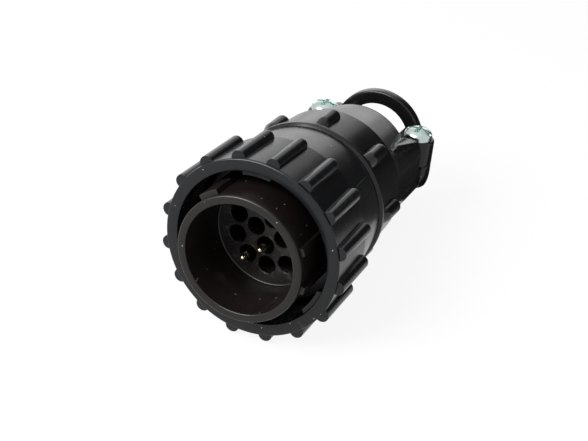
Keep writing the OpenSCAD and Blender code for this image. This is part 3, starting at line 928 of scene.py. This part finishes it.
def ear_column(s, strap, side):
    """Upright round ear about a screw, drawn in towards its foot by ear_round."""
    levels, inward = soft_ends(-s.ear_depth - CLEAR, CLEAR, 0.5 * MM)
    inward = np.where(levels > -s.ear_straight, 0.3 * inward, inward)
    radius = s.ear * ear_round(s, levels) - inward
    centre = np.broadcast_to([side * strap.spread, strap.screw_at], (len(levels), 2))
    return stacked(levels, np.column_stack([centre, radius])[:, None], 96)


def trough_block(s, strap):
    """Solid under the cable: a half round block as long as the trough, joined to both ears."""
    levels, inward = soft_ends(-s.trough, -0.01 * MM, 0.25 * MM)
    width = np.sqrt(np.clip(s.trough**2 - levels**2, (0.3 * MM) ** 2, None))
    soft = 0.3 * MM
    ends = (s.rim - 2 * MM, strap.end)
    corners = [
        np.stack([side * (width - soft), 0 * levels + end, soft - 0.4 * inward], 1)
        for side in (1, -1) for end in (ends[0] + soft, ends[1] - soft)
    ]
    join = 0.93 * s.trough
    share = np.clip((levels + join) / (join - s.ear_depth), 0, 1)
    narrow = 0.97 * s.ear * ear_round(s, levels)
    ears = [
        np.stack([
            side * (0.37 * s.trough + share * (strap.spread - 0.37 * s.trough)),
            0 * levels + strap.screw_at, np.maximum(share * narrow - inward, 0.1 * MM),
        ], 1)
        for side in (1, -1)
    ]
    return stacked(levels, np.stack(corners + ears, 1), 224)


def upright_rods(radius, low, high, strap, segments=48):
    """Round rods parallel to the screws, one about each screw's axis."""
    about = np.linspace(0, 2 * math.pi, segments, endpoint=False)
    outline = rod_profile(radius, low, high)
    rod = screw_turned(outline[:, :1], outline[:, 1:], about)
    return [(rod + [side * strap.spread, strap.screw_at, 0], False, True) for side in (1, -1)]


def screw_turned(radius, height, about):
    """Points at a radius and an angle about an upright axis, at a height."""
    radius, height, about = np.broadcast_arrays(radius, height, about)
    return np.stack([radius * np.cos(about), radius * np.sin(about), height], -1)


def block(name, low, high):
    """A plain block between two corners, for cutting."""
    low, high = np.array(low), np.array(high)
    square = np.array([[0, 0], [1, 0], [1, 1], [0, 1]])
    plan = low[:2] + square * (high - low)[:2]
    rings = [np.column_stack([plan, np.full(4, z)]) for z in (low[2], high[2])]
    return solid(name, closed(np.stack(rings)))


class PLUG_OT_strap(bpy.types.Operator):
    """Clamp strap: an arch on two feet"""

    bl_idname = "plug.strap"
    bl_label = "Clamp Strap"

    def execute(self, context):
        s = context.scene.plug_strap
        front = s.end - s.width
        corners = [[s.inner, front], [s.outer, front], [s.outer, s.end], [s.inner, s.end]]
        section = rounded(corners, np.array([0.22, 0.3, 0.3, 0.22]) * MM)
        about = np.linspace(0, math.pi, 97)
        arch = turned(section[:, 0], section[:, 1], about[:, None]) + [0, 0, s.rise]
        strap = solid("strap_moulding", closed(arch))
        way, start, end = s.inner + CLEAR, s.screw_at - 6 * MM, s.end + MM
        cable = rod_profile(way, start, end)
        for side in (1, -1):
            foot = solid("foot", strap_foot(s, side))
            carve(foot, make_piece("cable_tool", rods(cable, np.array([[0, s.rise]]), 128)))
            carve(foot, block("gap_tool", (-way, start, -MM), (way, end, s.rise + CLEAR)))
            carve(strap, foot, operation="UNION")
        carve(strap, make_piece("hole_tool", upright_rods(s.hole, -MM, s.height + MM, s)))
        finish_piece(strap, "strap", "clamp_plastic", finish("Clamp plastic"), "clamp_strap")
        return {"FINISHED"}


def strap_foot(s, side):
    """Foot of the strap: outlines round the screw and back to both corners of the arch."""
    levels, inward = soft_ends(0, s.height, 0.4 * MM)
    soft = 0.45 * MM
    inside, rear = s.inner - 0.2 * MM, s.end - soft - CLEAR
    plan = [
        (s.spread, s.screw_at, s.foot), (s.foot_end - soft, rear, soft),
        (inside, rear, soft), (inside, s.screw_at + soft, soft),
    ]
    draw = np.where(levels < s.height / 2, 0.35 * inward, inward)
    still = 0 * levels
    circles = [
        np.stack([still + side * x, still + y, np.maximum(r - draw, 0.02 * MM)], 1)
        for x, y, r in plan
    ]
    return stacked(levels, np.stack(circles, 1))


class PLUG_OT_screws(bpy.types.Operator):
    """Clamp screws: threaded, with pan heads that have a slot and a cross"""

    bl_idname = "plug.screws"
    bl_label = "Clamp Screws"

    def execute(self, context):
        s, strap = context.scene.plug_screws, context.scene.plug_strap
        seat = strap.height
        about = np.linspace(0, 2 * math.pi, 72, endpoint=False)
        turn = np.linspace(0, math.pi / 2, 14)
        wall = 0.4 * s.head_height
        dome = np.stack([
            s.head * (1 - 0.1 * (1 - np.cos(turn))) * np.cos(turn) ** 0.75,
            wall + (s.head_height - wall) * np.sin(turn),
        ], 1)[1:]
        rim = np.array([[s.head - 0.15 * MM, 0], [s.head, 0.12 * MM], [s.head, wall]])
        shank_up = np.linspace(0.5 * MM - s.length, -0.5 * MM, 110)
        helix = (shank_up[:, None] / s.pitch - about / (2 * math.pi)) % 1
        crest = 1 - np.abs(2 * helix - 1)
        thread = s.shank - s.thread_depth * (1 - crest)
        every = np.ones(len(about))
        point = np.array([[0, -s.length], [s.shank - 0.5 * MM, -s.length]])
        neck = np.array([[s.shank, -0.4 * MM], [s.shank, 0]])
        whole = np.concatenate([
            point[..., None] * every,
            np.stack([thread, shank_up[:, None] * every], 1),
            np.vstack([neck, rim, dome])[..., None] * every,
        ])
        grid = screw_turned(whole[:, 0], whole[:, 1], about)
        for side, name in ((1, "near"), (-1, "far")):
            at = np.array([side * strap.spread, strap.screw_at, seat])
            screw = solid(f"screw_{name}", grid + at, 40 * DEG)
            low = at + [0, 0, s.head_height - s.slot_depth]
            for wide, long in ((s.head + MM, s.slot / 2), (s.slot / 2, 0.62 * s.head)):
                tool = block("slot_tool", low - [wide, long, 0], low + [wide, long, 3 * MM])
                carve(screw, tool, 40 * DEG)
            body, node = f"screw_{name}", f"clamp_screw_{name}"
            finish_piece(screw, body, "screw_zinc", finish("Zinc"), node)
        return {"FINISHED"}


class PLUG_OT_stage(bpy.types.Operator):
    """Stage: pale floor, soft studio light and the camera"""

    bl_idname = "plug.stage"
    bl_label = "Stage"

    def execute(self, context):
        scene = context.scene
        scene.view_settings.view_transform = "Standard"
        square = np.array([[[-1, -1, 0], [1, -1, 0]], [[-1, 1, 0], [1, 1, 0]]]) * FLOOR_HALF
        floor = make_piece("floor", [(square, False, False)], lay=False)
        floor.data.materials.append(floor_material())
        # a dark card seen only in reflections: painted shade on the plug's right side
        painted_shade_card()
        for name, width, height, power, place in LAMPS:
            lamp = bpy.data.lights.new(name, "AREA")
            lamp.shape, lamp.size, lamp.size_y, lamp.energy = "RECTANGLE", width, height, power
            holder = bpy.data.objects.new(name, lamp)
            scene.collection.objects.link(holder)
            holder.location = place
            holder.rotation_euler = (-holder.location).to_track_quat("-Z", "Y").to_euler()
            holder.visible_camera = False
        scene.world = studio_world()
        lens = bpy.data.cameras.new("camera")
        lens.lens, lens.sensor_width = CAMERA_LENS, 36
        lens.clip_start, lens.clip_end = 0.01, 20
        camera = bpy.data.objects.new("camera", lens)
        scene.collection.objects.link(camera)
        camera.matrix_world = (
            Matrix.Translation(CAMERA_AT)
            @ Matrix.Rotation(CAMERA_AZIMUTH, 4, "Z")
            @ Matrix.Rotation(math.pi / 2 - CAMERA_ELEVATION, 4, "X")
            @ Matrix.Rotation(CAMERA_ROLL, 4, "Z")
        )
        scene.camera = camera
        return {"FINISHED"}


def painted_shade_card():
    """Card of painted shade to the right of the plug: seen only in reflections, it darkens the
    gloss on the plug's right side in place of the floor's shade there.

    Its profile (reach, height) lies on the floor and then stands up, and it runs round the
    upright axis: reach * (sin a, cos a) at the angle a from straight behind. The camera,
    shadows and soft light don't see it.
    """
    reach = np.array([CARD_NEAR, 0.05, 0.12, CARD_FAR, CARD_FAR, CARD_FAR])[:, None]
    height = np.array([0, 0, 0, 0, CARD_HEIGHT / 2, CARD_HEIGHT])[:, None] + 0.5 * MM
    a = np.linspace(CARD_FROM, CARD_TO, 48)[None, :]
    grid = np.stack(np.broadcast_arrays(reach * np.sin(a), reach * np.cos(a), height), -1)
    card = make_piece("painted_shade_card", [(grid, False, False)], lay=False)
    # painted shade: a dark card that only reflections see
    material, tree, shader = new_material("Dark card")
    set_inputs(tree, shader, {"Base Color": (PAINTED_SHADE_TONE, PAINTED_SHADE_TONE, PAINTED_SHADE_TONE, 1), "Roughness": 1})
    card.data.materials.append(material)
    card.visible_camera = card.visible_shadow = card.visible_diffuse = False
    return card


def seen_rays(tree):
    """One for rays of the camera, reflections and rays through glass, nought for the rest."""
    rays = add_node(tree, "ShaderNodeLightPath").outputs
    seen = arithmetic(tree, "MAXIMUM", rays["Is Camera Ray"], rays["Is Glossy Ray"])
    return arithmetic(tree, "MAXIMUM", seen, rays["Is Transmission Ray"])


def floor_material():
    """Pale floor that is seen as white, apart from the object's soft shadow."""
    material, tree, shader = new_material("Pale floor")
    tone = (FLOOR_TONE, FLOOR_TONE, FLOOR_TONE, 1)
    set_inputs(tree, shader, {"Base Color": tone, "Roughness": 0.9, "Specular IOR Level": 0.1})
    glow = add_node(tree, "ShaderNodeEmission", {"Color": (1, 1, 1, 1), "Strength": 1.0}).outputs[0]
    white = arithmetic(tree, "MULTIPLY", seen_rays(tree), FLOOR_WHITE)
    mix = add_node(tree, "ShaderNodeMixShader", {0: white, 1: shader.outputs[0], 2: glow})
    set_inputs(tree, tree.nodes["Material Output"], {"Surface": mix.outputs[0]})
    return material


def studio_world():
    """White to the camera and in reflections, and a plain pale grey for diffuse light."""
    world = bpy.data.worlds.new("Studio")
    world.use_nodes = True
    tree = world.node_tree
    tree.nodes.clear()
    level = mixed(tree, seen_rays(tree), (SOFT_LIGHT,) * 3, (1, 1, 1))
    sky = add_node(tree, "ShaderNodeBackground", {"Color": level, "Strength": 1.0})
    add_node(tree, "ShaderNodeOutputWorld", {"Surface": sky.outputs[0]})
    return world


OPERATORS = (
    PLUG_OT_ring, PLUG_OT_shell, PLUG_OT_contacts, PLUG_OT_clamp, PLUG_OT_strap,
    PLUG_OT_screws, PLUG_OT_stage,
)


class PLUG_PT_sidebar(bpy.types.Panel):
    """Sizes, finishes and the pieces they make"""

    bl_idname = "PLUG_PT_sidebar"
    bl_label = "Circular Plug"
    bl_space_type = "VIEW_3D"
    bl_region_type = "UI"
    bl_category = "Plug"

    def draw(self, context):
        for setting, group in SETTINGS.items():
            box = self.layout.box()
            box.label(text=group.__doc__.rstrip("."))
            for name in group.__annotations__:
                box.prop(getattr(context.scene, setting), name)
        for operator in OPERATORS:
            self.layout.operator(operator.bl_idname)


CLASSES = (*SETTINGS.values(), *OPERATORS, PLUG_PT_sidebar)


def register():
    for item in CLASSES:
        bpy.utils.register_class(item)
    for setting, group in SETTINGS.items():
        setattr(bpy.types.Scene, setting, PointerProperty(type=group))


def unregister():
    for setting in SETTINGS:
        delattr(bpy.types.Scene, setting)
    for item in reversed(CLASSES):
        bpy.utils.unregister_class(item)


def main():
    register()
    for operator in OPERATORS:
        family, name = operator.bl_idname.split(".")
        getattr(getattr(bpy.ops, family), name)()


if __name__ == "__main__":
    main()
